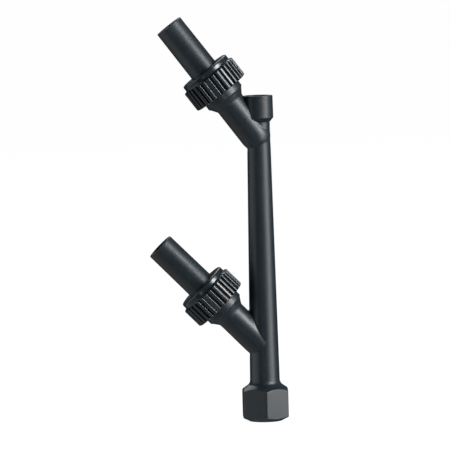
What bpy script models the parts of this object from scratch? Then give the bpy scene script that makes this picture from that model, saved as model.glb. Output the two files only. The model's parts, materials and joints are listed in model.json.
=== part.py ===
"""Hose splitter: a tapered riser with a female hex inlet at its foot, an open port
at its head and two slanted outlets, each ending in a union nut and a plain hose tail.

Units are metres, +Z runs up the riser, and the outlets lean toward -X in the XZ plane.
The origin is the centre of the hex inlet's bottom face.
"""

import math

import bmesh
import bpy
from mathutils import Matrix, Vector

MM = 0.001
PART_NAME = "hose_splitter"
GAP = 0.3 * MM  # clearance between pieces that meet
OVERSHOOT = 1.0 * MM  # how far a cutter runs past the face it opens
MERGE = 0.01 * MM
SHARP_ANGLE = math.radians(35)

# Facets around a full turn
RISER_STEPS = 36
BRANCH_STEPS = 32
RING_STEPS = 24
CORD_STEPS = 10
ARC_STEPS = 5

# Hex inlet, in one piece with the riser
HEX_ACROSS_FLATS = 31.4 * MM
HEX_BLANK_R = 19.0 * MM
HEX_FOOT_R = 11.4 * MM
HEX_FOOT_BEVEL = 2.1 * MM
HEX_SHOULDER_Z = 23.0 * MM
SHOULDER_TOP_R = 11.2 * MM
SHOULDER_TOP_Z = 26.1 * MM
INLET_R = 9.35 * MM
INLET_DEPTH = 17.0 * MM

# Riser
RISER_FOOT_R = 10.4 * MM
RISER_FOOT_Z = 28.8 * MM
RISER_HEAD_R = 7.9 * MM
RISER_HEAD_Z = 209.9 * MM
PASSAGE_FOOT_R = 7.6 * MM
PASSAGE_HEAD_R = 5.4 * MM

# Port at the head
PORT_FOOT_R = 10.5 * MM
PORT_TOP_R = 10.3 * MM
PORT_FOOT_Z = 212.9 * MM
PORT_TOP_Z = 228.5 * MM
PORT_BORE_R = 7.6 * MM
PORT_DEPTH = 14.0 * MM
EDGE = 0.4 * MM

# Outlets: height of each axis where it meets the riser's axis, and its lean from +Z
OUTLETS = {
    "lower": (52.2 * MM, math.radians(44.4)),
    "upper": (197.3 * MM, math.radians(36.8)),
}

# Along an outlet, distances are measured from the riser's axis
ARM_BALL_AT = 3.9 * MM
ARM_ROOT_R = 10.2 * MM
ARM_END_R = 10.45 * MM
ARM_END = 32.6 * MM
COLLAR_R = 14.35 * MM
COLLAR_START = 37.8 * MM
COLLAR_END = 42.8 * MM
COLLAR_BEVEL = 1.0 * MM
ARM_BORE_R = 7.0 * MM
ARM_BORE_START = 3.0 * MM

# Union thread, right-handed
PITCH = 2.309 * MM
MALE_ROOT_R = 15.1 * MM
MALE_CREST_R = 16.5 * MM
MALE_START = 43.6 * MM
MALE_END = 55.5 * MM
MALE_RIDGE_START = 45.7 * MM
MALE_RIDGE_END = 54.2 * MM
MALE_RIDGE_BASE = 1.7 * MM
MALE_RIDGE_TIP = 0.5 * MM
FEMALE_ROOT_R = 16.9 * MM
FEMALE_CREST_R = 15.5 * MM
FEMALE_RIDGE_START = 43.7 * MM
FEMALE_RIDGE_END = 54.5 * MM
FEMALE_RIDGE_BASE = 1.2 * MM
FEMALE_RIDGE_TIP = 0.4 * MM
RIDGE_ROOT_DEPTH = 0.5 * MM

# Union nut
NUT_BOTTOM = 42.3 * MM
NUT_TOP = 61.9 * MM
NUT_THREAD_END = 55.7 * MM
NUT_SHOULDER = 59.5 * MM
NUT_HOLE_R = 10.6 * MM
NUT_HEAD_R = 18.7 * MM
NUT_HEAD_START = 58.2 * MM
NUT_BODY_R = 19.1 * MM
RIB_COUNT = 32
RIB_CREST_R = 21.0 * MM
RIB_ROOT_R = 18.5 * MM
RIB_CREST_WIDTH = 1.6 * MM
RIB_ROOT_WIDTH = 2.7 * MM
RIB_CREST_SPAN = (43.0 * MM, 56.2 * MM)
RIB_ROOT_SPAN = (42.6 * MM, 58.5 * MM)

# Hose tail
TAIL_END = 101.8 * MM
TAIL_ROOT_R = 10.25 * MM
TAIL_TIP_R = 10.0 * MM
TAIL_BORE_R = 7.6 * MM
TAIL_TIP_BEVEL = 0.6 * MM
TAIL_FLANGE_R = 15.0 * MM
TAIL_FLANGE_END = 59.2 * MM

# Seals
SEAL_MEAN_R = 11.8 * MM
SEAL_GROOVE_WIDTH = 3.4 * MM
SEAL_GROOVE_DEPTH = 2.2 * MM
SEAL_WIDTH = 2.6 * MM
WASHER_OUTER_R = 9.0 * MM
WASHER_INNER_R = 6.6 * MM
WASHER_THICKNESS = 2.4 * MM

BLACK_MOULDING = (0.022, 0.027, 0.030, 1.0)
BLACK_RUBBER = (0.012, 0.012, 0.013, 1.0)


def clear_scene():
    for obj in list(bpy.data.objects):
        bpy.data.objects.remove(obj)


def add_collection(name):
    collection = bpy.data.collections.new(name)
    bpy.context.scene.collection.children.link(collection)
    return collection


def make_material(name, colour, roughness):
    material = bpy.data.materials.new(name)
    material.use_nodes = True
    shader = material.node_tree.nodes["Principled BSDF"]
    shader.inputs["Base Color"].default_value = colour
    shader.inputs["Roughness"].default_value = roughness
    shader.inputs["Metallic"].default_value = 0.0
    return material


def add_object(name, mesh, collection):
    obj = bpy.data.objects.new(name, mesh)
    collection.objects.link(obj)
    return obj


def mesh_object(name, bm, collection):
    """Turn bm into a new object."""
    mesh = bpy.data.meshes.new(name)
    bm.to_mesh(mesh)
    bm.free()
    return add_object(name, mesh, collection)


def finish(obj, material):
    """Give obj its material, settle its modifiers and shade it smooth up to sharp edges."""
    obj.data.materials.append(material)
    bpy.context.view_layer.update()
    graph = bpy.context.evaluated_depsgraph_get()
    mesh = bpy.data.meshes.new_from_object(obj.evaluated_get(graph))
    obj.modifiers.clear()
    obj.data = mesh
    mesh.name = obj.name
    mesh.shade_smooth()
    mesh.set_sharp_from_angle(angle=SHARP_ANGLE)


def turned(name, profile, collection, steps, closed=False):
    """Spin (radius, height) points around Z. The points run down the outer side.

    An open profile starts and ends on the axis. A closed one is a ring's section.
    """
    bm = bmesh.new()
    verts = [bm.verts.new((radius, 0.0, height)) for radius, height in profile]
    ends = zip(verts, verts[1:] + verts[:1]) if closed else zip(verts, verts[1:])
    for first, second in ends:
        bm.edges.new((first, second))
    obj = mesh_object(name, bm, collection)
    screw = obj.modifiers.new("Turn", "SCREW")
    screw.steps = steps
    screw.render_steps = steps
    screw.use_merge_vertices = True
    screw.merge_threshold = MERGE
    return obj


def arc(centre, radius, start, end, steps=ARC_STEPS):
    """Points on an arc in the (radius, height) plane, angles in degrees from +radius."""
    points = []
    for index in range(steps + 1):
        angle = math.radians(start + (end - start) * index / steps)
        x = centre[0] + radius * math.cos(angle)
        z = centre[1] + radius * math.sin(angle)
        points.append((x, z))
    return points


def thread_ridge(name, section, span, datum, collection):
    """A right-handed helical ridge of the given (radius, offset) section.

    The ridge passes through the +X side at every height that is a whole number of
    pitches from datum, so ridges with related datums stay in step.
    """
    start, end = span
    turns = (end - start) / PITCH
    steps = max(1, round(turns * BRANCH_STEPS))
    phase = math.tau * (start - datum) / PITCH
    bm = bmesh.new()
    verts = [bm.verts.new((radius, 0.0, start + offset)) for radius, offset in section]
    face = bm.faces.new(verts)
    bmesh.ops.rotate(bm, verts=verts, matrix=Matrix.Rotation(phase, 3, "Z"))
    bmesh.ops.spin(
        bm,
        geom=[face] + face.edges[:] + verts,
        axis=(0.0, 0.0, 1.0),
        dvec=(0.0, 0.0, (end - start) / steps),
        angle=math.tau * turns,
        steps=steps,
    )
    bmesh.ops.holes_fill(bm, edges=bm.edges[:])
    bmesh.ops.recalc_face_normals(bm, faces=bm.faces[:])
    return mesh_object(name, bm, collection)


def ridge_section(root_r, crest_r, base, tip):
    """A tapered thread form: root_r, crest_r are radii, base and tip its widths."""
    return [(root_r, -base / 2), (crest_r, -tip / 2), (crest_r, tip / 2), (root_r, base / 2)]


def combine(obj, tool, operation):
    """Add a Boolean modifier, and keep its tool out of sight."""
    modifier = obj.modifiers.new(tool.name, "BOOLEAN")
    modifier.object = tool
    modifier.operation = operation
    modifier.solver = "MANIFOLD"
    tool.hide_render = True
    tool.display_type = "WIRE"


def outlet_frame(side, parts):
    """An empty on the outlet's axis, its local +Z pointing out of the outlet."""
    height, lean = OUTLETS[side]
    empty = bpy.data.objects.new(side + "_outlet_axis", None)
    empty.location = (0.0, 0.0, height)
    empty.rotation_euler = (0.0, -lean, 0.0)
    empty.empty_display_size = 20 * MM
    parts.objects.link(empty)
    return empty


def make_riser(parts):
    """The turned blank of riser, port and hex."""
    slope = (SHOULDER_TOP_Z - HEX_SHOULDER_Z) / (HEX_ACROSS_FLATS / 2 - SHOULDER_TOP_R)
    blank_top = SHOULDER_TOP_Z - slope * (HEX_BLANK_R - SHOULDER_TOP_R)
    foot_slope = HEX_FOOT_BEVEL / (HEX_ACROSS_FLATS / 2 - HEX_FOOT_R)
    blank_foot = foot_slope * (HEX_BLANK_R - HEX_FOOT_R)
    profile = [
        (0.0, PORT_TOP_Z),
        (PORT_TOP_R - EDGE, PORT_TOP_Z),
        (PORT_TOP_R, PORT_TOP_Z - EDGE),
        (PORT_FOOT_R, PORT_FOOT_Z),
        (RISER_HEAD_R, RISER_HEAD_Z),
        (RISER_FOOT_R, RISER_FOOT_Z),
        (RISER_FOOT_R + 0.2 * MM, RISER_FOOT_Z - 1.4 * MM),
        (SHOULDER_TOP_R, SHOULDER_TOP_Z),
        (HEX_BLANK_R, blank_top),
        (HEX_BLANK_R, blank_foot),
        (HEX_FOOT_R, 0.0),
        (0.0, 0.0),
    ]
    return turned("manifold", profile, parts, RISER_STEPS)


def make_hex_cutter(tools):
    """A six-sided ring whose inner faces are the flats of the hex."""
    corner = HEX_ACROSS_FLATS / 2 / math.cos(math.pi / 6)
    bottom, top = -OVERSHOOT, SHOULDER_TOP_Z + OVERSHOOT
    outside = 2 * HEX_BLANK_R
    profile = [(corner, top), (outside, top), (outside, bottom), (corner, bottom)]
    cutter = turned("hex_flats", profile, tools, 6, closed=True)
    cutter.rotation_euler = (0.0, 0.0, math.pi / 6)
    return cutter


def make_passage(tools):
    """The water way up the riser, with the inlet and port sockets."""
    port_floor = PORT_TOP_Z - PORT_DEPTH
    profile = [
        (0.0, PORT_TOP_Z + OVERSHOOT),
        (PORT_BORE_R, PORT_TOP_Z + OVERSHOOT),
        (PORT_BORE_R, port_floor),
        (PASSAGE_HEAD_R, port_floor),
        (PASSAGE_FOOT_R, INLET_DEPTH),
        (INLET_R, INLET_DEPTH),
        (INLET_R, -OVERSHOOT),
        (0.0, -OVERSHOOT),
    ]
    return turned("riser_passage", profile, tools, RISER_STEPS)


def make_arm(side, frame, tools):
    """An outlet arm, round at its inner end, with its collar and thread root."""
    ball = arc((0.0, ARM_BALL_AT), ARM_ROOT_R, 0, -90)[:-1]
    profile = [
        (0.0, MALE_END),
        (MALE_ROOT_R - EDGE, MALE_END),
        (MALE_ROOT_R, MALE_END - EDGE),
        (MALE_ROOT_R, MALE_START),
        (COLLAR_R, COLLAR_END),
        (COLLAR_R, COLLAR_START),
        (COLLAR_R - COLLAR_BEVEL, COLLAR_START - COLLAR_BEVEL),
        (ARM_END_R, ARM_END),
        *ball,
        (0.0, ARM_BALL_AT - ARM_ROOT_R),
    ]
    arm = turned(side + "_arm", profile, tools, BRANCH_STEPS)
    arm.parent = frame
    return arm


def make_arm_bore(side, frame, tools):
    profile = [
        (0.0, MALE_END + OVERSHOOT),
        (ARM_BORE_R, MALE_END + OVERSHOOT),
        (ARM_BORE_R, ARM_BORE_START),
        (0.0, ARM_BORE_START),
    ]
    bore = turned(side + "_arm_bore", profile, tools, BRANCH_STEPS)
    bore.parent = frame
    return bore


def make_male_ridge(side, frame, tools):
    section = ridge_section(
        MALE_ROOT_R - RIDGE_ROOT_DEPTH, MALE_CREST_R, MALE_RIDGE_BASE, MALE_RIDGE_TIP
    )
    span = (MALE_RIDGE_START, MALE_RIDGE_END)
    ridge = thread_ridge(side + "_male_thread", section, span, 0.0, tools)
    ridge.parent = frame
    return ridge


def make_manifold(parts, tools, frames, material):
    manifold = make_riser(parts)
    combine(manifold, make_hex_cutter(tools), "DIFFERENCE")
    for side, frame in frames.items():
        combine(manifold, make_arm(side, frame, tools), "UNION")
    for side, frame in frames.items():
        combine(manifold, make_male_ridge(side, frame, tools), "UNION")
    combine(manifold, make_passage(tools), "DIFFERENCE")
    for side, frame in frames.items():
        combine(manifold, make_arm_bore(side, frame, tools), "DIFFERENCE")
    finish(manifold, material)


def make_ribs(side, frame, tools):
    """The nut's grip ribs, their feet sunk in its body."""
    bm = bmesh.new()
    for index in range(RIB_COUNT):
        corners = bmesh.ops.create_cube(bm, size=1.0)["verts"]
        for vert in corners:
            outer = vert.co.x > 0
            width = RIB_CREST_WIDTH if outer else RIB_ROOT_WIDTH
            span = RIB_CREST_SPAN if outer else RIB_ROOT_SPAN
            radius = RIB_CREST_R if outer else RIB_ROOT_R
            height = span[1] if vert.co.z > 0 else span[0]
            vert.co = Vector((radius, math.copysign(width / 2, vert.co.y), height))
        turn = Matrix.Rotation(math.tau * (index + 0.5) / RIB_COUNT, 3, "Z")
        bmesh.ops.rotate(bm, verts=corners, matrix=turn)
    ribs = mesh_object(side + "_ribs", bm, tools)
    ribs.parent = frame
    return ribs


def make_nut(side, frame, parts, tools, material):
    bevel = 0.5 * MM
    profile = [
        (NUT_HOLE_R, NUT_TOP),
        (NUT_HEAD_R - bevel, NUT_TOP),
        (NUT_HEAD_R, NUT_TOP - bevel),
        (NUT_HEAD_R, NUT_HEAD_START),
        (NUT_BODY_R, NUT_HEAD_START - bevel),
        (NUT_BODY_R, NUT_BOTTOM + bevel),
        (NUT_BODY_R - bevel, NUT_BOTTOM),
        (FEMALE_ROOT_R, NUT_BOTTOM),
        (FEMALE_ROOT_R, NUT_THREAD_END - bevel),
        (FEMALE_CREST_R, NUT_THREAD_END + bevel),
        (FEMALE_CREST_R, NUT_SHOULDER),
        (NUT_HOLE_R, NUT_SHOULDER),
    ]
    nut = turned(side + "_nut", profile, parts, BRANCH_STEPS, closed=True)
    nut.parent = frame
    combine(nut, make_ribs(side, frame, tools), "UNION")
    section = ridge_section(
        FEMALE_ROOT_R + RIDGE_ROOT_DEPTH, FEMALE_CREST_R, FEMALE_RIDGE_BASE, FEMALE_RIDGE_TIP
    )
    span = (FEMALE_RIDGE_START, FEMALE_RIDGE_END)
    ridge = thread_ridge(side + "_female_thread", section, span, PITCH / 2, tools)
    ridge.parent = frame
    combine(nut, ridge, "UNION")
    finish(nut, material)


def make_tail(side, frame, parts, material):
    """A plain spigot with a flange that the nut holds, grooved for the seal."""
    face = MALE_END + GAP
    groove_floor = face + SEAL_GROOVE_DEPTH
    groove_inner = SEAL_MEAN_R - SEAL_GROOVE_WIDTH / 2
    groove_outer = SEAL_MEAN_R + SEAL_GROOVE_WIDTH / 2
    profile = [
        (TAIL_BORE_R, TAIL_END),
        (TAIL_TIP_R - TAIL_TIP_BEVEL, TAIL_END),
        (TAIL_TIP_R, TAIL_END - TAIL_TIP_BEVEL),
        (TAIL_ROOT_R, TAIL_FLANGE_END),
        (TAIL_FLANGE_R, TAIL_FLANGE_END),
        (TAIL_FLANGE_R, face),
        (groove_outer, face),
        (groove_outer, groove_floor),
        (groove_inner, groove_floor),
        (groove_inner, face),
        (TAIL_BORE_R, face),
    ]
    tail = turned(side + "_tail", profile, parts, BRANCH_STEPS, closed=True)
    tail.parent = frame
    finish(tail, material)


def make_o_ring(side, frame, parts, material):
    """A ring of round cord, pressed a little oval between the two faces."""
    cord = SEAL_GROOVE_DEPTH - GAP
    middle = MALE_END + GAP + cord / 2
    profile = []
    for index in range(CORD_STEPS):
        angle = -math.tau * index / CORD_STEPS
        radius = SEAL_MEAN_R + SEAL_WIDTH / 2 * math.cos(angle)
        height = middle + cord / 2 * math.sin(angle)
        profile.append((radius, height))
    ring = turned(side + "_o_ring", profile, parts, RING_STEPS, closed=True)
    ring.parent = frame
    finish(ring, material)


def make_inlet_washer(parts, material):
    top = INLET_DEPTH - GAP
    bottom = top - WASHER_THICKNESS
    profile = [
        (WASHER_INNER_R, top),
        (WASHER_OUTER_R, top),
        (WASHER_OUTER_R, bottom),
        (WASHER_INNER_R, bottom),
    ]
    washer = turned("inlet_washer", profile, parts, RISER_STEPS, closed=True)
    finish(washer, material)


def main():
    clear_scene()
    parts = add_collection(PART_NAME)
    tools = add_collection(PART_NAME + "_cutters")
    frames = {side: outlet_frame(side, parts) for side in OUTLETS}
    make_manifold(parts, tools, frames, make_material("manifold_plastic", BLACK_MOULDING, 0.42))
    make_inlet_washer(parts, make_material("washer_rubber", BLACK_RUBBER, 0.7))
    for side, frame in frames.items():
        nut_plastic = make_material(side + "_nut_plastic", BLACK_MOULDING, 0.38)
        make_nut(side, frame, parts, tools, nut_plastic)
        tail_plastic = make_material(side + "_tail_plastic", BLACK_MOULDING, 0.45)
        make_tail(side, frame, parts, tail_plastic)
        seal_rubber = make_material(side + "_seal_rubber", BLACK_RUBBER, 0.6)
        make_o_ring(side, frame, parts, seal_rubber)
    bpy.context.view_layer.update()


main()
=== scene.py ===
import json
import math

import bmesh
import bpy
import numpy as np
from mathutils import Matrix, Vector


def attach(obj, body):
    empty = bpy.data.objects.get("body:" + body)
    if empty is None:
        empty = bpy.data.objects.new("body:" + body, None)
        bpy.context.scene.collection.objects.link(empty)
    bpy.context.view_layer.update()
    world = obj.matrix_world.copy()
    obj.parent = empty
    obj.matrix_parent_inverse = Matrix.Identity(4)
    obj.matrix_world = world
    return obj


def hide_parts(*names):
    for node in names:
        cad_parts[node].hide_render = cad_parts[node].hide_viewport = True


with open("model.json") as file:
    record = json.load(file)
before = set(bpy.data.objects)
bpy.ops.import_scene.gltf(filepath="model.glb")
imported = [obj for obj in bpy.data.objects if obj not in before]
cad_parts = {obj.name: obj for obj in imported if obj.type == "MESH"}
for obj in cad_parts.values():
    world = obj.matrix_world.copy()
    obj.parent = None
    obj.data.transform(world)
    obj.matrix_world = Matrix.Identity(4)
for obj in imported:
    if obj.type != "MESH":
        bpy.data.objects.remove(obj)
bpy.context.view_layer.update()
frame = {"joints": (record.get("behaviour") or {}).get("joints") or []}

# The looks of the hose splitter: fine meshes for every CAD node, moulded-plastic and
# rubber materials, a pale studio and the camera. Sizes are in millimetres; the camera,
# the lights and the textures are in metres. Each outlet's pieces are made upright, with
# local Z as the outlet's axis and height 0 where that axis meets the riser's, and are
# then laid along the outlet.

MM = 0.001
SIDES = ("lower", "upper")
JOINTS = {joint["name"]: joint for joint in frame["joints"]}

# ---------------------------------------------------------------- sizes, millimetres

HEX_FLATS = 31.4
HEX_CORNER_RADIUS = 0.9
HEX_FOOT_R = 11.4
HEX_FOOT_BEVEL = 2.1
HEX_SHOULDER_Z = 23.0
SHOULDER_TOP_R = 11.2
SHOULDER_TOP_Z = 26.1
INLET_ROOT_R = 10.4
INLET_CREST_R = 9.35
INLET_PITCH = 1.814
INLET_DEPTH = 17.0
INLET_CHAMFER = 1.0
MOUTH_FLARE = 0.5  # how far a chamfer opens for each millimetre of height

RISER_FOOT = (10.43, 26.6)
RISER_HEAD = (7.9, 209.9)
PASSAGE_FOOT_R = 7.6
PASSAGE_HEAD_R = 5.4

PORT_FOOT = (10.5, 212.9)
PORT_TOP = (10.3, 228.5)
PORT_ROOT_R = 8.3
PORT_CREST_R = 7.6
PORT_PITCH = 1.337
PORT_DEPTH = 14.0
PORT_CHAMFER = 0.7

ARM_BALL_AT = 3.9
ARM_ROOT_R = 10.55
ARM_END_R = 10.45
ARM_END = 32.6
ARM_BORE_R = 7.0
ARM_BORE_START = 3.0
ARM_BORE_CHAMFER = 0.5
COLLAR_R = 14.35
COLLAR_START = 37.8
COLLAR_END = 42.8

PITCH = 2.309
MALE_ROOT_R = 15.1
MALE_CREST_R = 16.5
MALE_START = 43.6
MALE_END = 55.5
MALE_CHAMFER = 0.4
FEMALE_ROOT_R = 16.9
FEMALE_CREST_R = 15.5

NUT_BOTTOM = 42.3
NUT_TOP = 61.9
NUT_THREAD_END = 55.7
NUT_SHOULDER = 59.5
NUT_HOLE_R = 10.6
NUT_HEAD_R = 18.7
NUT_EDGE_R = 1.2
NUT_MOUTH_CHAMFER = 0.8
NUT_MOUTH_FLARE = 0.6
NUT_BODY_R = 19.1
RIB_COUNT = 32
RIB_CREST_R = 21.0
RIB_SHARE = 0.66
RIB_ROUNDNESS = 3.6
RIB_LEAD_START = 57.0
RIB_LEAD_SLOPE = 2.5
RIB_TOE_DROP = 0.9
RIB_TOE_SLOPE = 1.6
RIB_TOE_END = 43.8
RIB_LEAD_SOFTNESS = 0.6
RIB_TOE_SOFTNESS = 0.5
RIB_TOP_SOFTNESS = 0.25

TAIL_END = 101.8
TAIL_ROOT_R = 10.25
TAIL_TIP_R = 10.0
TAIL_BORE_R = 7.6
TAIL_FLANGE_R = 15.0
TAIL_FLANGE_END = 59.2
GAP = 0.3  # left between pieces that press together in the real object

SEAL_MEAN_R = 11.8
SEAL_GROOVE_WIDTH = 3.4
SEAL_GROOVE_DEPTH = 2.2
SEAL_WIDTH = 2.6
WASHER_OUTER_R = 9.0
WASHER_INNER_R = 6.6
WASHER_THICKNESS = 2.4

SEAM = 0.09  # height of a mould's parting line
SEAM_HALF_WIDTH = 0.028  # in radians
BLEND = 1.8  # how wide the fillet reaches where riser and arm meet head on
BLEND_LEAST = 0.02  # its width where they meet almost flush
BLEND_FOOT = 35.0  # no fillet below this height
BLEND_TOP = 222.0  # nor above this one
BLEND_FADE = 12.0  # it dies away over this height
BLEND_DEPTH = 0.3  # points further inside than this stay where they are
BLEND_PASSES = 8
CREASES = ((43.0, 80.0), (186.0, 228.0))  # heights where an arm meets the riser
FINE_STEP = 0.6  # between rings in a crease
COARSE_STEP = 4.0  # between rings elsewhere on the riser
CUT_OVERHANG = 1.5  # how far a cutting shape sticks out of what it cuts
ROWS_PER_PITCH = 12

# ---------------------------------------------------------------- small helpers


def soft_min(a, b, reach):
    """The lesser of a and b, rounded where they are within reach of each other."""
    near = np.clip(reach - np.abs(a - b), 0.0, None) / reach
    return np.minimum(a, b) - near * near * reach / 4


def spread(start, end, step):
    """Evenly spaced heights from start to end, about step apart."""
    count = max(1, math.ceil(abs(end - start) / step))
    return list(np.linspace(start, end, count + 1))


def chain(*runs):
    """Join runs of heights, leaving out each repeated end."""
    heights = list(runs[0])
    for run in runs[1:]:
        heights.extend(run[1:])
    return heights


def round_corner(before, corner, after, radius, steps=4):
    """Points of an arc that rounds the corner of a (radius, height) outline."""
    corner = Vector(corner)
    into = (Vector(before) - corner).normalized()
    out = (Vector(after) - corner).normalized()
    half = into.angle(out) / 2
    reach = radius / math.tan(half)
    centre = corner + (into + out).normalized() * radius / math.sin(half)
    first = corner + into * reach - centre
    last = corner + out * reach - centre
    points = []
    for index in range(steps + 1):
        arm = first.lerp(last, index / steps).normalized() * radius
        points.append(tuple(centre + arm))
    return points


def rounded(outline, radii, steps=4):
    """A closed outline with each corner rounded by its radius, or kept if that is 0."""
    points = []
    count = len(outline)
    for index, (corner, radius) in enumerate(zip(outline, radii)):
        if radius:
            before = outline[index - 1]
            after = outline[(index + 1) % count]
            points.extend(round_corner(before, corner, after, radius, steps))
        else:
            points.append(corner)
    return points


# ---------------------------------------------------------------- mesh building


class Skin:
    """A mesh made of rings of points around local Z, given in millimetres."""

    def __init__(self):
        self.bm = bmesh.new()

    def ring(self, angles, radius, height):
        radii = np.broadcast_to(radius, len(angles))
        heights = np.broadcast_to(height, len(angles))
        ring = []
        for angle, r, z in zip(angles, radii, heights):
            place = (r * math.cos(angle) * MM, r * math.sin(angle) * MM, z * MM)
            ring.append(self.bm.verts.new(place))
        return ring

    def face(self, verts):
        distinct = list(dict.fromkeys(verts))
        if len(distinct) > 2:
            self.bm.faces.new(distinct)

    def join(self, first, second):
        """Faces between two rings. The first may have a whole number of times more points."""
        if len(first) < len(second):
            first, second = second, first
        ratio = len(first) // len(second)
        for index in range(len(second)):
            following = (index + 1) % len(second)
            run = [first[(index * ratio + k) % len(first)] for k in range(ratio + 1)]
            self.face([second[index], second[following]] + run[::-1])

    def sheet(self, rings):
        for first, second in zip(rings, rings[1:]):
            self.join(first, second)
        return rings[0], rings[-1]

    def cap(self, ring):
        self.face(ring)

    def thread(self, columns, low, high, pitch, radius_of, datum=0.0):
        """A threaded wall from low to high, its rows laid along the helix.

        radius_of(part, height) gives the radius at a part of the pitch from 0 to 1.
        Returns the wall's lowest and highest rings.
        """
        angles = np.linspace(0.0, math.tau, columns, endpoint=False)
        step = pitch / ROWS_PER_PITCH
        first_row = math.floor((low - datum - pitch) / step)
        last_row = math.ceil((high - datum) / step)
        bottom = []
        top = []
        grid = {}
        for column, angle in enumerate(angles):
            lead = pitch * column / columns
            for row in range(first_row, last_row + 1):
                height = datum + row * step + lead
                part = (row % ROWS_PER_PITCH) / ROWS_PER_PITCH
                if low < height < high:
                    r = float(radius_of(part, height))
                    place = (r * math.cos(angle) * MM, r * math.sin(angle) * MM, height * MM)
                    grid[column, row] = self.bm.verts.new(place)
            for height, ring in ((low, bottom), (high, top)):
                part = ((height - datum - lead) / pitch) % 1.0
                r = float(radius_of(part, height))
                place = (r * math.cos(angle) * MM, r * math.sin(angle) * MM, height * MM)
                ring.append(self.bm.verts.new(place))

        def at(column, row):
            if column == columns:
                column = 0
                row += ROWS_PER_PITCH
            found = grid.get((column, row))
            if found:
                return found
            height = datum + row * step + pitch * column / columns
            return bottom[column] if height <= low else top[column]

        for column in range(columns):
            for row in range(first_row - ROWS_PER_PITCH, last_row + 1):
                corners = [
                    at(column, row),
                    at(column + 1, row),
                    at(column + 1, row + 1),
                    at(column, row + 1),
                ]
                self.face(corners)
        return bottom, top

    def build(self, name, sharp=40.0):
        bmesh.ops.recalc_face_normals(self.bm, faces=self.bm.faces[:])
        mesh = bpy.data.meshes.new(name)
        self.bm.to_mesh(mesh)
        self.bm.free()
        piece = bpy.data.objects.new(name, mesh)
        bpy.context.scene.collection.objects.link(piece)
        smooth(piece, sharp)
        return piece


def smooth(piece, sharp):
    piece.data.shade_smooth()
    piece.data.set_sharp_from_angle(angle=math.radians(sharp))


def combine(piece, tool, operation):
    """Apply a Boolean at once and drop the tool."""
    modifier = piece.modifiers.new("cut", "BOOLEAN")
    modifier.object = tool
    modifier.operation = operation
    modifier.solver = "MANIFOLD"
    bpy.context.view_layer.update()
    graph = bpy.context.evaluated_depsgraph_get()
    mesh = bpy.data.meshes.new_from_object(piece.evaluated_get(graph))
    piece.modifiers.clear()
    piece.data = mesh
    bpy.data.objects.remove(tool)


def even_angles(columns, extra=()):
    """Evenly spaced angles around a turn, with extra ones put in."""
    angles = list(np.linspace(0.0, math.tau, columns, endpoint=False))
    for angle in extra:
        angles.append(angle % math.tau)
    return np.array(sorted(set(np.round(angles, 6))))


def seam_at(angles):
    """A parting line's height at each angle: raised at 0 and at half a turn."""
    off = np.minimum(np.abs(np.sin(angles / 2)), np.abs(np.cos(angles / 2)))
    return np.where(off < 1e-5, SEAM, 0.0)


SEAM_ANGLES = [
    side + turn
    for side in (0.0, math.pi)
    for turn in (-SEAM_HALF_WIDTH, 0.0, SEAM_HALF_WIDTH)
]


def thread_form(part):
    """A rounded V thread's height, 0 at the root and 1 at the crest."""
    flat = 0.14
    roundness = 0.55
    rise = 1.0 - abs(2.0 * part - 1.0)
    flank = min(max((rise - flat) / (1.0 - 2.0 * flat), 0.0), 1.0)
    eased = flank * flank * (3.0 - 2.0 * flank)
    return eased * roundness + flank * (1.0 - roundness)


def thread_wall(root, crest, low, high, run_out):
    """The radius of a thread that fades out within run_out of its low and high end."""

    def radius_of(part, height):
        inside = min(height - low, high - height) / run_out
        return root + (crest - root) * thread_form(part) * min(max(inside, 0.0), 1.0)

    return radius_of


# ---------------------------------------------------------------- outlets


def outlet_matrix(side):
    """The outlet's frame: origin on the riser's axis, Z along the outlet, Y as the CAD's."""
    joint = JOINTS[side + "_nut_turn"]
    axis = Vector(joint["axis"]).normalized()
    point = Vector(joint["pos_m"])
    root = point - axis * (point.x / axis.x)
    across = Vector((0.0, 1.0, 0.0)).cross(axis).normalized()
    turn = Matrix((across, Vector((0.0, 1.0, 0.0)), axis)).transposed()
    return Matrix.Translation(root) @ turn.to_4x4()


OUTLETS = {side: outlet_matrix(side) for side in SIDES}


def arm_radius(height):
    """Outer radius of an arm between its round end and its thread."""
    profile = np.array(ARM_OUTLINE)
    return np.interp(height, profile[:, 1], profile[:, 0])


CONE_TOP = (COLLAR_R - 1.0, COLLAR_START - 1.0)
ARM_OUTLINE = [
    (ARM_ROOT_R, ARM_BALL_AT),
    *round_corner((ARM_ROOT_R, ARM_BALL_AT), (ARM_END_R, ARM_END), CONE_TOP, 3.0, 8),
    *round_corner((ARM_END_R, ARM_END), CONE_TOP, (COLLAR_R, COLLAR_START), 0.9, 4),
    *round_corner(CONE_TOP, (COLLAR_R, COLLAR_START), (COLLAR_R, COLLAR_END), 0.5, 4),
    *round_corner(
        (COLLAR_R, COLLAR_START), (COLLAR_R, COLLAR_END), (MALE_ROOT_R, MALE_START), 0.3, 2
    ),
    (MALE_ROOT_R, MALE_START),
]


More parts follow.
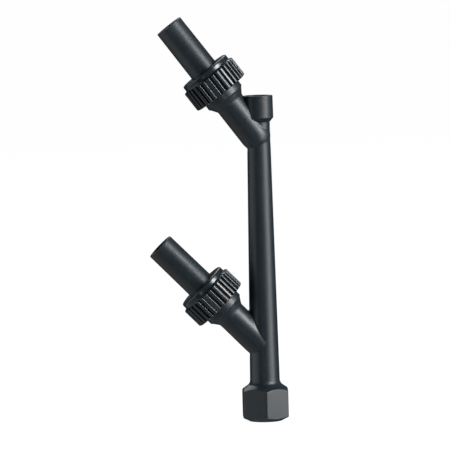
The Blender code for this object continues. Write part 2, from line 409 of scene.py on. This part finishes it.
def make_arm(side):
    """An arm from its round end, inside the riser, to its male thread."""
    skin = Skin()
    angles = even_angles(120, SEAM_ANGLES)
    columns = len(angles)
    ball_steps = 12
    rings = []
    for index in range(1, ball_steps):
        turn = math.pi / 2 * (1 - index / ball_steps)
        radius = ARM_ROOT_R * math.cos(turn)
        rings.append(skin.ring(angles, radius, ARM_BALL_AT - ARM_ROOT_R * math.sin(turn)))
    straight = spread(ARM_BALL_AT, ARM_END - 2.0, FINE_STEP)
    for height in straight:
        rings.append(skin.ring(angles, arm_radius(height) + seam_at(angles), height))
    for radius, height in ARM_OUTLINE:
        if height > straight[-1] + 0.05:
            rings.append(skin.ring(angles, radius + seam_at(angles), height))
    first, last = skin.sheet(rings)
    skin.cap(first)

    male = thread_wall(
        MALE_ROOT_R, MALE_CREST_R, low=MALE_START + 0.4, high=MALE_END - 0.2, run_out=1.6
    )
    thread_end = MALE_END - MALE_CHAMFER
    half_a_turn_on = -PITCH / 2
    bottom, top = skin.thread(columns, MALE_START, thread_end, PITCH, male, half_a_turn_on)
    for thread_vert, ring_vert in zip(bottom, last):
        thread_vert.co = ring_vert.co
    skin.join(last, bottom)
    rim = skin.ring(even_angles(columns), MALE_ROOT_R - MALE_CHAMFER, MALE_END)
    skin.join(top, rim)
    skin.cap(rim)
    bmesh.ops.remove_doubles(skin.bm, verts=skin.bm.verts[:], dist=1e-7)
    arm = skin.build(side + "_arm")
    arm.data.transform(OUTLETS[side])
    return arm


def make_arm_bore(side):
    """The space inside an arm, with a chamfer at its mouth."""
    skin = Skin()
    angles = even_angles(96)
    mouth_radius = ARM_BORE_R + ARM_BORE_CHAMFER
    outline = [
        (ARM_BORE_R, ARM_BORE_START),
        (ARM_BORE_R, MALE_END - ARM_BORE_CHAMFER),
        (mouth_radius, MALE_END),
        (mouth_radius, MALE_END + CUT_OVERHANG),
    ]
    rings = [skin.ring(angles, radius, height) for radius, height in outline]
    for ring in skin.sheet(rings):
        skin.cap(ring)
    bore = skin.build(side + "_bore")
    bore.data.transform(OUTLETS[side])
    return bore


# ---------------------------------------------------------------- riser


def hex_radius(angles):
    """The hex's outline, flats facing +X and -X, its corners rounded."""
    flat = HEX_FLATS / 2
    off = np.abs((angles % (math.pi / 3)) - math.pi / 6)
    centre = (flat - HEX_CORNER_RADIUS) / math.cos(math.pi / 6)
    touch = math.atan2(
        HEX_CORNER_RADIUS * math.sin(math.pi / 6),
        centre + HEX_CORNER_RADIUS * math.cos(math.pi / 6),
    )
    reach = np.clip(HEX_CORNER_RADIUS**2 - (centre * np.sin(off)) ** 2, 0.0, None)
    on_arc = centre * np.cos(off) + np.sqrt(reach)
    on_flat = flat / np.cos(math.pi / 6 - off)
    return np.where(off < touch, on_arc, on_flat)


RISER_OUTLINE = [
    (PORT_TOP[0] - 0.5, PORT_TOP[1]),
    *round_corner((PORT_ROOT_R, PORT_TOP[1]), PORT_TOP, PORT_FOOT, 0.5, 4),
    *round_corner(PORT_TOP, PORT_FOOT, RISER_HEAD, 1.0, 5),
    *round_corner(PORT_FOOT, RISER_HEAD, RISER_FOOT, 0.9, 4),
    *round_corner(RISER_HEAD, RISER_FOOT, (HEX_FLATS / 2, HEX_SHOULDER_Z), 4.5, 8),
]


def riser_radius(height):
    profile = np.array(RISER_OUTLINE[::-1])
    return np.interp(height, profile[:, 1], profile[:, 0])


def make_riser():
    """The hex, its bevels, the flare into the riser, and the riser up to the port's rim."""
    slope = (SHOULDER_TOP_Z - HEX_SHOULDER_Z) / (HEX_FLATS / 2 - SHOULDER_TOP_R)
    foot_slope = HEX_FOOT_BEVEL / (HEX_FLATS / 2 - HEX_FOOT_R)
    extra = list(SEAM_ANGLES)
    beside_a_corner = (0.007, 0.014, 0.024)
    for index in range(6):
        corner = math.pi / 6 + math.pi / 3 * index
        for turn in beside_a_corner:
            extra.extend((corner - turn, corner + turn))
    angles = even_angles(144, extra)
    hexagon = hex_radius(angles)
    flare_start = min(height for _, height in RISER_OUTLINE)
    flare_end = 31.0
    foot_end = 5.0
    shoulder_start = 19.0
    bevel_step = 0.25
    shoulder_softness = 0.5
    foot_softness = 0.4
    hex_heights = chain(
        spread(bevel_step, foot_end, bevel_step),
        spread(foot_end, shoulder_start, 3.0),
        spread(shoulder_start, flare_start, bevel_step),
    )
    skin = Skin()
    rings = [skin.ring(angles, HEX_FOOT_R, 0.0)]
    for height in hex_heights:
        above = SHOULDER_TOP_R + (SHOULDER_TOP_Z - height) / slope
        below = HEX_FOOT_R + height / foot_slope
        radius = soft_min(soft_min(hexagon, above, shoulder_softness), below, foot_softness)
        rings.append(skin.ring(angles, radius + seam_at(angles), height))
    heights = [height for _, height in RISER_OUTLINE]
    heights.extend(spread(flare_end, CREASES[0][0], COARSE_STEP))
    heights.extend(spread(CREASES[0][1], CREASES[1][0], COARSE_STEP))
    for crease in CREASES:
        heights.extend(spread(*crease, FINE_STEP))
    for height in sorted(set(np.round(heights, 3)))[1:]:
        rings.append(skin.ring(angles, riser_radius(height) + seam_at(angles), height))
    for ring in skin.sheet(rings):
        skin.cap(ring)
    return skin.build("manifold_body")


def make_passage():
    """The space inside the riser: threaded inlet, tapered passage and threaded port."""
    columns = 96
    angles = even_angles(columns)
    port_top = PORT_TOP[1]
    port_floor = port_top - PORT_DEPTH
    inlet_wall = thread_wall(
        INLET_ROOT_R, INLET_CREST_R, low=0.3, high=INLET_DEPTH - 2.0, run_out=1.2
    )
    port_wall = thread_wall(
        PORT_ROOT_R, PORT_CREST_R, low=port_floor + 2.0, high=port_top - 0.2, run_out=1.0
    )

    def inlet(part, height):
        return inlet_wall(part, height) + max(0.0, INLET_CHAMFER - height) * MOUTH_FLARE

    def port(part, height):
        into_chamfer = max(0.0, height - port_top + PORT_CHAMFER)
        return port_wall(part, height) + into_chamfer * MOUTH_FLARE

    skin = Skin()
    inlet_low, inlet_high = skin.thread(columns, 0.0, INLET_DEPTH, INLET_PITCH, inlet)
    port_low, port_high = skin.thread(columns, port_floor, port_top, PORT_PITCH, port)
    below = skin.ring(angles, INLET_ROOT_R + INLET_CHAMFER * MOUTH_FLARE, -CUT_OVERHANG)
    skin.cap(below)
    skin.join(below, inlet_low)
    foot = skin.ring(angles, PASSAGE_FOOT_R, INLET_DEPTH)
    skin.join(inlet_high, foot)
    head = skin.ring(angles, PASSAGE_HEAD_R, port_floor)
    skin.join(foot, head)
    skin.join(head, port_low)
    above_radius = PORT_ROOT_R + PORT_CHAMFER * MOUTH_FLARE
    above = skin.ring(angles, above_radius, port_top + CUT_OVERHANG)
    skin.join(port_high, above)
    skin.cap(above)
    return skin.build("passage")


def arm_distance(points, side):
    """Distance in millimetres from an arm's plain surface, negative inside."""
    inverse = np.array(OUTLETS[side].inverted())
    local = (points @ inverse[:3, :3].T + inverse[:3, 3]) / MM
    around = np.hypot(local[:, 0], local[:, 1])
    along = local[:, 2]
    ball = np.hypot(around, along - ARM_BALL_AT) - ARM_ROOT_R
    return np.where(along < ARM_BALL_AT, ball, around - arm_radius(along))


def riser_distance(points):
    around = np.hypot(points[:, 0], points[:, 1]) / MM
    return around - riser_radius(points[:, 2] / MM)


def slope_of(distance, points):
    """The gradient of a distance function at each point."""
    nudge = 0.02 * MM
    value = distance(points)
    slope = np.empty_like(points)
    for axis in range(3):
        ahead = points.copy()
        ahead[:, axis] += nudge
        slope[:, axis] = (distance(ahead) - value) / nudge
    return slope


def fillet(piece, side):
    """Move the skin near the crease of riser and arm onto a smooth blend of the two."""
    mesh = piece.data
    points = np.empty(len(mesh.vertices) * 3)
    mesh.vertices.foreach_get("co", points)
    points = points.reshape(-1, 3)

    def arm_of(at):
        return arm_distance(at, side)

    def reach(at):
        riser_slope = slope_of(riser_distance, at) * MM
        arm_slope = slope_of(arm_of, at) * MM
        facing = np.sum(riser_slope * arm_slope, axis=1)
        fade = np.clip((BLEND_TOP - at[:, 2] / MM) / BLEND_FADE, 0.0, 1.0)
        return BLEND_LEAST + BLEND * fade * np.clip((1.0 - facing) / 2, 0.0, 1.0)

    riser = riser_distance(points)
    arm = arm_of(points)
    near = (np.abs(riser - arm) < BLEND) & (np.minimum(riser, arm) > -BLEND_DEPTH)
    near &= (points[:, 2] > BLEND_FOOT * MM) & (points[:, 2] < BLEND_TOP * MM)
    moving = points[near]
    width = reach(moving)

    def blended(at):
        return soft_min(riser_distance(at), arm_of(at), width)

    for _ in range(BLEND_PASSES):
        slope = slope_of(blended, moving)
        length = np.sum(slope * slope, axis=1)
        moving -= slope * (blended(moving) / np.maximum(length, 1e-9))[:, None]
    points[near] = moving
    mesh.vertices.foreach_set("co", points.ravel())
    mesh.update()


def make_manifold():
    """Riser and arms as one skin, filleted outside before the inside is cut."""
    body = make_riser()
    for side in SIDES:
        combine(body, make_arm(side), "UNION")
    for side in SIDES:
        fillet(body, side)
    combine(body, make_passage(), "DIFFERENCE")
    for side in SIDES:
        combine(body, make_arm_bore(side), "DIFFERENCE")
    smooth(body, sharp=38.0)
    return body


# ---------------------------------------------------------------- unions


def rib_angles():
    """Angles round the nut and each one's rib height, from 0 in a groove to 1 on a crest."""
    arc_steps = 10
    power = RIB_ROUNDNESS
    angles = []
    rise = []
    pitch = math.tau / RIB_COUNT
    for rib in range(RIB_COUNT):
        angles.append(rib * pitch)
        rise.append(0.0)
        for index in range(arc_steps + 1):
            across = math.sin(math.pi * (index / arc_steps - 0.5))
            angles.append((rib + 0.5 + RIB_SHARE / 2 * across) * pitch)
            rise.append((1.0 - abs(across) ** power) ** (1.0 / power))
    return np.array(angles), np.array(rise)


def nut_head_rings(skin, angles):
    """The rounded edge between the nut's flat top and its smooth head."""
    steps = 8
    rings = []
    for index in range(steps + 1):
        turn = math.pi / 2 * index / steps
        radius = NUT_HEAD_R + NUT_EDGE_R * (math.sin(turn) - 1.0)
        height = NUT_TOP + NUT_EDGE_R * (math.cos(turn) - 1.0)
        rings.append(skin.ring(angles, radius, height))
    return rings


def nut_side_rings(skin, angles, rise):
    """The nut's side: each rib starts below the smooth head and tapers at its toe."""
    rib_depth = RIB_CREST_R - NUT_BODY_R
    lead_top = RIB_LEAD_START + (RIB_CREST_R - NUT_HEAD_R) / RIB_LEAD_SLOPE + 0.2
    lead_foot = RIB_LEAD_START - 0.6
    heights = chain(
        spread(NUT_TOP - NUT_EDGE_R - 0.4, lead_top, 0.8),
        spread(lead_top, lead_foot, 0.12),
        spread(lead_foot, RIB_TOE_END, 2.0),
        spread(RIB_TOE_END, NUT_BOTTOM + 0.1, 0.15),
    )
    rings = []
    for height in heights:
        lead = RIB_CREST_R - (height - RIB_LEAD_START) * RIB_LEAD_SLOPE
        toe = RIB_CREST_R - RIB_TOE_DROP + (height - NUT_BOTTOM) * RIB_TOE_SLOPE
        crest = soft_min(RIB_CREST_R, lead, RIB_LEAD_SOFTNESS)
        crest = soft_min(crest, toe, RIB_TOE_SOFTNESS)
        below_lead = min(max(lead_top - height, 0.0), 1.0)
        groove = NUT_HEAD_R + (NUT_BODY_R - NUT_HEAD_R) * below_lead
        ribbed = soft_min(groove + rib_depth * rise, crest, RIB_TOP_SOFTNESS)
        rings.append(skin.ring(angles, np.maximum(groove, ribbed), height))
    rings.append(skin.ring(angles, NUT_BODY_R + (rib_depth - 1.0) * rise, NUT_BOTTOM))
    rings.append(skin.ring(angles, NUT_BODY_R - 0.6, NUT_BOTTOM))
    return rings


def make_nut(side):
    """A union nut: smooth head and ribs outside, thread, shoulder and hole inside."""
    angles, rise = rib_angles()
    inner_columns = len(angles) // 3
    inner = np.linspace(0.0, math.tau, inner_columns, endpoint=False)
    skin = Skin()
    rings = nut_head_rings(skin, angles) + nut_side_rings(skin, angles, rise)
    skin.sheet(rings)

    thread_low = NUT_BOTTOM + 0.6
    thread_high = NUT_THREAD_END - 0.6
    female_wall = thread_wall(
        FEMALE_ROOT_R, FEMALE_CREST_R, low=thread_low, high=thread_high, run_out=1.4
    )

    def female(part, height):
        mouth = max(0.0, NUT_BOTTOM + NUT_MOUTH_CHAMFER - height) * NUT_MOUTH_FLARE
        return female_wall(part, height) + mouth

    bottom, top = skin.thread(inner_columns, NUT_BOTTOM, NUT_THREAD_END, PITCH, female)
    skin.join(rings[-1], bottom)
    inside = [top]
    for radius, height in (
        (FEMALE_CREST_R, NUT_THREAD_END + 0.8),
        (FEMALE_CREST_R, NUT_SHOULDER - 0.3),
        (FEMALE_CREST_R - 0.3, NUT_SHOULDER),
        (NUT_HOLE_R, NUT_SHOULDER),
        (NUT_HOLE_R, NUT_TOP - 0.5),
        (NUT_HOLE_R + 0.15, NUT_TOP - 0.15),
        (NUT_HOLE_R + 0.5, NUT_TOP),
    ):
        inside.append(skin.ring(inner, radius, height))
    skin.sheet(inside)
    skin.join(rings[0], inside[-1])
    nut = skin.build(side + "_nut_shell", sharp=50.0)
    nut.data.transform(OUTLETS[side])
    return nut


def turned_piece(name, outline, columns, seam_from=None, sharp=40.0):
    """A ring-like piece from a closed outline, with seams outside radius seam_from."""
    angles = even_angles(columns, SEAM_ANGLES if seam_from else ())
    skin = Skin()
    rings = []
    for radius, height in outline:
        raised = seam_at(angles) if seam_from and radius > seam_from else 0.0
        rings.append(skin.ring(angles, radius + raised, height))
    skin.sheet(rings + rings[:1])
    return skin.build(name, sharp)


def make_tail(side):
    """A tail: the spigot, and the flange with the seal's groove in its lower face."""
    face = MALE_END + GAP
    floor = face + SEAL_GROOVE_DEPTH
    groove = (SEAL_MEAN_R - SEAL_GROOVE_WIDTH / 2, SEAL_MEAN_R + SEAL_GROOVE_WIDTH / 2)
    outline = [
        (TAIL_BORE_R, TAIL_END),
        (TAIL_TIP_R, TAIL_END),
        (TAIL_ROOT_R, TAIL_FLANGE_END),
        (TAIL_FLANGE_R, TAIL_FLANGE_END),
        (TAIL_FLANGE_R, face),
        (groove[1], face),
        (groove[1], floor),
        (groove[0], floor),
        (groove[0], face),
        (TAIL_BORE_R, face),
    ]
    radii = [0.5, 0.6, 0.5, 0.5, 0.4, 0.3, 0.3, 0.3, 0.3, 0.3]
    outline = rounded(outline, radii)
    tail = turned_piece(side + "_tail_spigot", outline, 96, seam_from=TAIL_BORE_R + 1.0)
    tail.data.transform(OUTLETS[side])
    return tail


def make_o_ring(side):
    """An O-ring, pressed oval between the groove's floor and the arm's end."""
    cord = SEAL_GROOVE_DEPTH - GAP
    middle = MALE_END + GAP + cord / 2
    steps = 20
    outline = []
    for index in range(steps):
        turn = -math.tau * index / steps
        radius = SEAL_MEAN_R + SEAL_WIDTH / 2 * math.cos(turn)
        outline.append((radius, middle + cord / 2 * math.sin(turn)))
    ring = turned_piece(side + "_o_ring_cord", outline, 96, sharp=80.0)
    ring.data.transform(OUTLETS[side])
    return ring


def make_washer():
    """The inlet's flat washer, with softened edges."""
    top = INLET_DEPTH - GAP
    bottom = top - WASHER_THICKNESS
    outline = [
        (WASHER_INNER_R, top),
        (WASHER_OUTER_R, top),
        (WASHER_OUTER_R, bottom),
        (WASHER_INNER_R, bottom),
    ]
    return turned_piece("inlet_washer_ring", rounded(outline, [0.25] * 4), 72)


# ---------------------------------------------------------------- materials


class Nodes:
    """A material's node tree, with short calls to add and link nodes."""

    def __init__(self, name):
        self.material = bpy.data.materials.new(name)
        self.material.use_nodes = True
        self.tree = self.material.node_tree
        self.shader = self.tree.nodes["Principled BSDF"]
        self.place = self.add("ShaderNodeTexCoord").outputs["Object"]

    def add(self, kind, **settings):
        node = self.tree.nodes.new(kind)
        for name, value in settings.items():
            setattr(node, name, value)
        return node

    def link(self, source, target):
        self.tree.links.new(source, target)

    def noise(self, scale, detail, roughness, stretch=None):
        node = self.add("ShaderNodeTexNoise")
        node.inputs["Scale"].default_value = scale
        node.inputs["Detail"].default_value = detail
        node.inputs["Roughness"].default_value = roughness
        source = self.place
        if stretch:
            mapping = self.add("ShaderNodeMapping")
            mapping.inputs["Scale"].default_value = stretch
            self.link(self.place, mapping.inputs["Vector"])
            source = mapping.outputs["Vector"]
        self.link(source, node.inputs["Vector"])
        return node.outputs["Fac"]

    def span(self, value, low, high, to_low, to_high):
        node = self.add("ShaderNodeMapRange")
        node.inputs["From Min"].default_value = low
        node.inputs["From Max"].default_value = high
        node.inputs["To Min"].default_value = to_low
        node.inputs["To Max"].default_value = to_high
        self.link(value, node.inputs["Value"])
        return node.outputs["Result"]

    def math(self, operation, first, second):
        node = self.add("ShaderNodeMath", operation=operation)
        for socket, value in zip(node.inputs, (first, second)):
            if isinstance(value, (int, float)):
                socket.default_value = value
            else:
                self.link(value, socket)
        return node.outputs["Value"]

    def mix(self, amount, first, second):
        node = self.add("ShaderNodeMix", data_type="RGBA")
        self.link(amount, node.inputs["Factor"])
        for socket, value in zip((node.inputs[6], node.inputs[7]), (first, second)):
            if isinstance(value, tuple):
                socket.default_value = value
            else:
                self.link(value, socket)
        return node.outputs[2]

    def bump(self, height, distance, strength, under=None):
        node = self.add("ShaderNodeBump")
        node.inputs["Distance"].default_value = distance
        node.inputs["Strength"].default_value = strength
        self.link(height, node.inputs["Height"])
        if under:
            self.link(under, node.inputs["Normal"])
        return node.outputs["Normal"]


def moulded_plastic(name, colour, worn, rough, grain=0.3):
    """Black moulded plastic: fine grain, faint flow marks, scuffs and paler worn edges."""
    nodes = Nodes(name)
    shader = nodes.shader
    cloud = nodes.noise(scale=22.0, detail=4.0, roughness=0.6)
    flow = nodes.noise(scale=60.0, detail=3.0, roughness=0.6, stretch=(1.0, 1.0, 0.18))
    fine = nodes.noise(scale=2200.0, detail=2.0, roughness=0.5)
    scuff = nodes.noise(scale=420.0, detail=5.0, roughness=0.7, stretch=(1.0, 0.35, 1.6))

    edges = nodes.add("ShaderNodeNewGeometry").outputs["Pointiness"]
    wear = nodes.span(edges, 0.505, 0.56, 0.0, 1.0)
    patches = nodes.span(cloud, 0.35, 0.65, 0.25, 1.0)
    spots = nodes.span(scuff, 0.52, 0.72, 0.0, 1.0)
    faint_spots = nodes.math("MULTIPLY", spots, 0.22)
    worn_share = nodes.math("MAXIMUM", nodes.math("MULTIPLY", wear, patches), faint_spots)
    paler = tuple(channel * 1.35 for channel in colour[:3]) + (1.0,)
    plain = nodes.mix(nodes.span(flow, 0.3, 0.7, 0.0, 1.0), colour, paler)
    nodes.link(nodes.mix(worn_share, plain, worn), shader.inputs["Base Color"])

    uneven = nodes.span(cloud, 0.3, 0.7, rough - 0.05, rough + 0.05)
    scuffed = nodes.math("ADD", uneven, nodes.math("MULTIPLY", spots, 0.12))
    nodes.link(scuffed, shader.inputs["Roughness"])
    shader.inputs["Metallic"].default_value = 0.0
    shader.inputs["IOR"].default_value = 1.5

    wavy = nodes.bump(flow, distance=0.00012, strength=0.35)
    grainy = nodes.bump(fine, distance=0.000015, strength=grain, under=wavy)
    scratched = nodes.bump(scuff, distance=0.00004, strength=0.12, under=grainy)
    nodes.link(scratched, shader.inputs["Normal"])
    return nodes.material


def rubber(name, colour, bloom, rough):
    """Black rubber with a pale bloom in patches and a finely pitted surface."""
    nodes = Nodes(name)
    shader = nodes.shader
    cloud = nodes.noise(scale=160.0, detail=4.0, roughness=0.6)
    pits = nodes.noise(scale=3200.0, detail=3.0, roughness=0.7)
    bloom_share = nodes.span(cloud, 0.4, 0.75, 0.0, 1.0)
    uneven = nodes.span(cloud, 0.3, 0.7, rough - 0.08, rough + 0.08)
    pitted = nodes.bump(pits, distance=0.00003, strength=0.5)
    nodes.link(nodes.mix(bloom_share, colour, bloom), shader.inputs["Base Color"])
    nodes.link(uneven, shader.inputs["Roughness"])
    nodes.link(pitted, shader.inputs["Normal"])
    shader.inputs["IOR"].default_value = 1.52
    return nodes.material


def paint(piece, material):
    piece.data.materials.clear()
    piece.data.materials.append(material)


BLACK = (0.0070, 0.0125, 0.0170, 1.0)
WORN = (0.045, 0.052, 0.057, 1.0)
RUBBER_BLACK = (0.010, 0.010, 0.011, 1.0)
RUBBER_BLOOM = (0.035, 0.035, 0.037, 1.0)


def add_piece(piece, body, node, material):
    """Finish a piece that stands for a CAD node and moves with a body."""
    paint(piece, material)
    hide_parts(node)
    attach(piece, body)


def make_pieces():
    body_plastic = moulded_plastic("manifold_moulding", BLACK, WORN, 0.40)
    add_piece(make_manifold(), "manifold", "manifold", body_plastic)
    washer_rubber = rubber("washer_rubber_dull", RUBBER_BLACK, RUBBER_BLOOM, 0.62)
    add_piece(make_washer(), "manifold", "inlet_washer", washer_rubber)
    nut_plastic = moulded_plastic("nut_moulding", BLACK, WORN, 0.22, grain=0.15)
    tail_plastic = moulded_plastic("tail_moulding", BLACK, WORN, 0.42, grain=0.4)
    seal_rubber = rubber("seal_rubber_smooth", RUBBER_BLACK, RUBBER_BLOOM, 0.48)
    for side in SIDES:
        add_piece(make_nut(side), side + "_nut", side + "_nut", nut_plastic)
        add_piece(make_tail(side), side + "_tail", side + "_tail", tail_plastic)
        add_piece(make_o_ring(side), side + "_seal", side + "_o_ring", seal_rubber)


# ---------------------------------------------------------------- studio

VIEW_AZIMUTH = math.radians(-3.0)
VIEW_ELEVATION = math.radians(4.5)
VIEW_ROLL = math.radians(1.5)
VIEW_WIDTH = 315.0 * MM  # what the picture spans at the riser's distance
VIEW_DISTANCE = 3.2
AIM_HEIGHT = 138.3 * MM
AIM_ASIDE = 25.15 * MM  # how far left of the riser's axis the camera aims

FLOOR_HEIGHT = -0.05  # just under the hex's rim, in millimetres like the next three
FLOOR_RADIUS = 4000.0
COVE_RADIUS = 1500.0
WALL_HEIGHT = 6000.0
STAGE_GREY = (0.03, 0.03, 0.03, 1.0)
STAGE_GLOW = 0.985
WORLD_COLOUR = (0.9, 0.95, 1.0, 1.0)
WORLD_STRENGTH = 0.05

WHITE = (1.0, 1.0, 1.0)
COOL = (0.88, 0.96, 1.0)
# azimuth and elevation in degrees, distance, width and height in metres, watts, colour
LIGHTS = {
    "key": (58.0, 8.0, 1.6, (1.3, 1.8), 24.0, (0.97, 0.99, 1.0)),
    "strip": (63.0, 8.0, 1.5, (0.22, 1.4), 7.0, WHITE),
    "sparkle": (51.0, 31.0, 1.4, (0.45, 0.5), 14.0, WHITE),
    "fill": (-84.0, 4.0, 1.6, (2.0, 1.7), 10.0, COOL),
    "front": (-3.0, 0.0, 4.2, (2.4, 2.0), 1.3, (0.5, 0.86, 1.0)),
    "glint": (-13.0, -19.0, 2.2, (0.3, 0.4), 1.0, WHITE),
    "rear": (190.0, 42.0, 2.4, (1.6, 1.6), 22.0, WHITE),
    "bounce": (-90.0, -60.0, 0.7, (1.2, 1.6), 2.4, (0.95, 0.98, 1.0)),
}


def view_axes(azimuth, elevation):
    """The camera's right, up and backward directions."""
    back = Vector((
        math.sin(azimuth) * math.cos(elevation),
        -math.cos(azimuth) * math.cos(elevation),
        math.sin(elevation),
    ))
    right = Vector((0.0, 0.0, 1.0)).cross(back).normalized()
    return right, back.cross(right), back


def add_camera():
    right, up, back = view_axes(VIEW_AZIMUTH, VIEW_ELEVATION)
    aim = Vector((0.0, 0.0, AIM_HEIGHT)) - right * AIM_ASIDE
    turn = Matrix((right, up, back)).transposed() @ Matrix.Rotation(-VIEW_ROLL, 3, "Z")
    data = bpy.data.cameras.new("camera")
    data.sensor_width = 36.0
    data.lens = data.sensor_width * VIEW_DISTANCE / VIEW_WIDTH
    camera = bpy.data.objects.new("camera", data)
    camera.matrix_world = Matrix.Translation(aim + back * VIEW_DISTANCE) @ turn.to_4x4()
    bpy.context.scene.collection.objects.link(camera)
    bpy.context.scene.camera = camera


def add_light(name, azimuth, elevation, distance, size, power, colour):
    """A rectangular light that faces the object and isn't seen itself."""
    right, up, away = view_axes(math.radians(azimuth), math.radians(elevation))
    aim = Vector((0.0, 0.0, AIM_HEIGHT))
    data = bpy.data.lights.new(name, "AREA")
    data.shape = "RECTANGLE"
    data.size, data.size_y = size
    data.energy = power
    data.color = colour
    light = bpy.data.objects.new(name, data)
    turn = Matrix((right, up, away)).transposed()
    light.matrix_world = Matrix.Translation(aim + away * distance) @ turn.to_4x4()
    light.visible_camera = False
    bpy.context.scene.collection.objects.link(light)


def add_stage():
    """A pale floor that curves up into a backdrop all round, with an even glow."""
    skin = Skin()
    angles = even_angles(96)
    rings = []
    for radius in (1.0, 200.0, 600.0, 1500.0, FLOOR_RADIUS):
        rings.append(skin.ring(angles, radius, FLOOR_HEIGHT))
    steps = 12
    for index in range(1, steps + 1):
        turn = math.pi / 2 * index / steps
        radius = FLOOR_RADIUS + COVE_RADIUS * math.sin(turn)
        rings.append(skin.ring(angles, radius, COVE_RADIUS * (1 - math.cos(turn))))
    rings.append(skin.ring(angles, FLOOR_RADIUS + COVE_RADIUS, WALL_HEIGHT))
    skin.sheet(rings)
    skin.cap(rings[0])
    floor = skin.build("studio_floor")
    material = bpy.data.materials.new("studio_white")
    material.use_nodes = True
    shader = material.node_tree.nodes["Principled BSDF"]
    shader.inputs["Base Color"].default_value = STAGE_GREY
    shader.inputs["Roughness"].default_value = 0.9
    shader.inputs["Emission Color"].default_value = (*WHITE, 1.0)
    shader.inputs["Emission Strength"].default_value = STAGE_GLOW
    paint(floor, material)
    floor.visible_glossy = False
    floor.visible_diffuse = False
    floor.visible_shadow = False


def add_world():
    world = bpy.data.worlds.new("studio_world")
    world.use_nodes = True
    background = world.node_tree.nodes["Background"]
    background.inputs["Color"].default_value = WORLD_COLOUR
    background.inputs["Strength"].default_value = WORLD_STRENGTH
    bpy.context.scene.world = world


def make_studio():
    add_stage()
    add_world()
    add_camera()
    for name, settings in LIGHTS.items():
        add_light(name, *settings)
    bpy.context.scene.view_settings.view_transform = "Standard"


make_pieces()
make_studio()
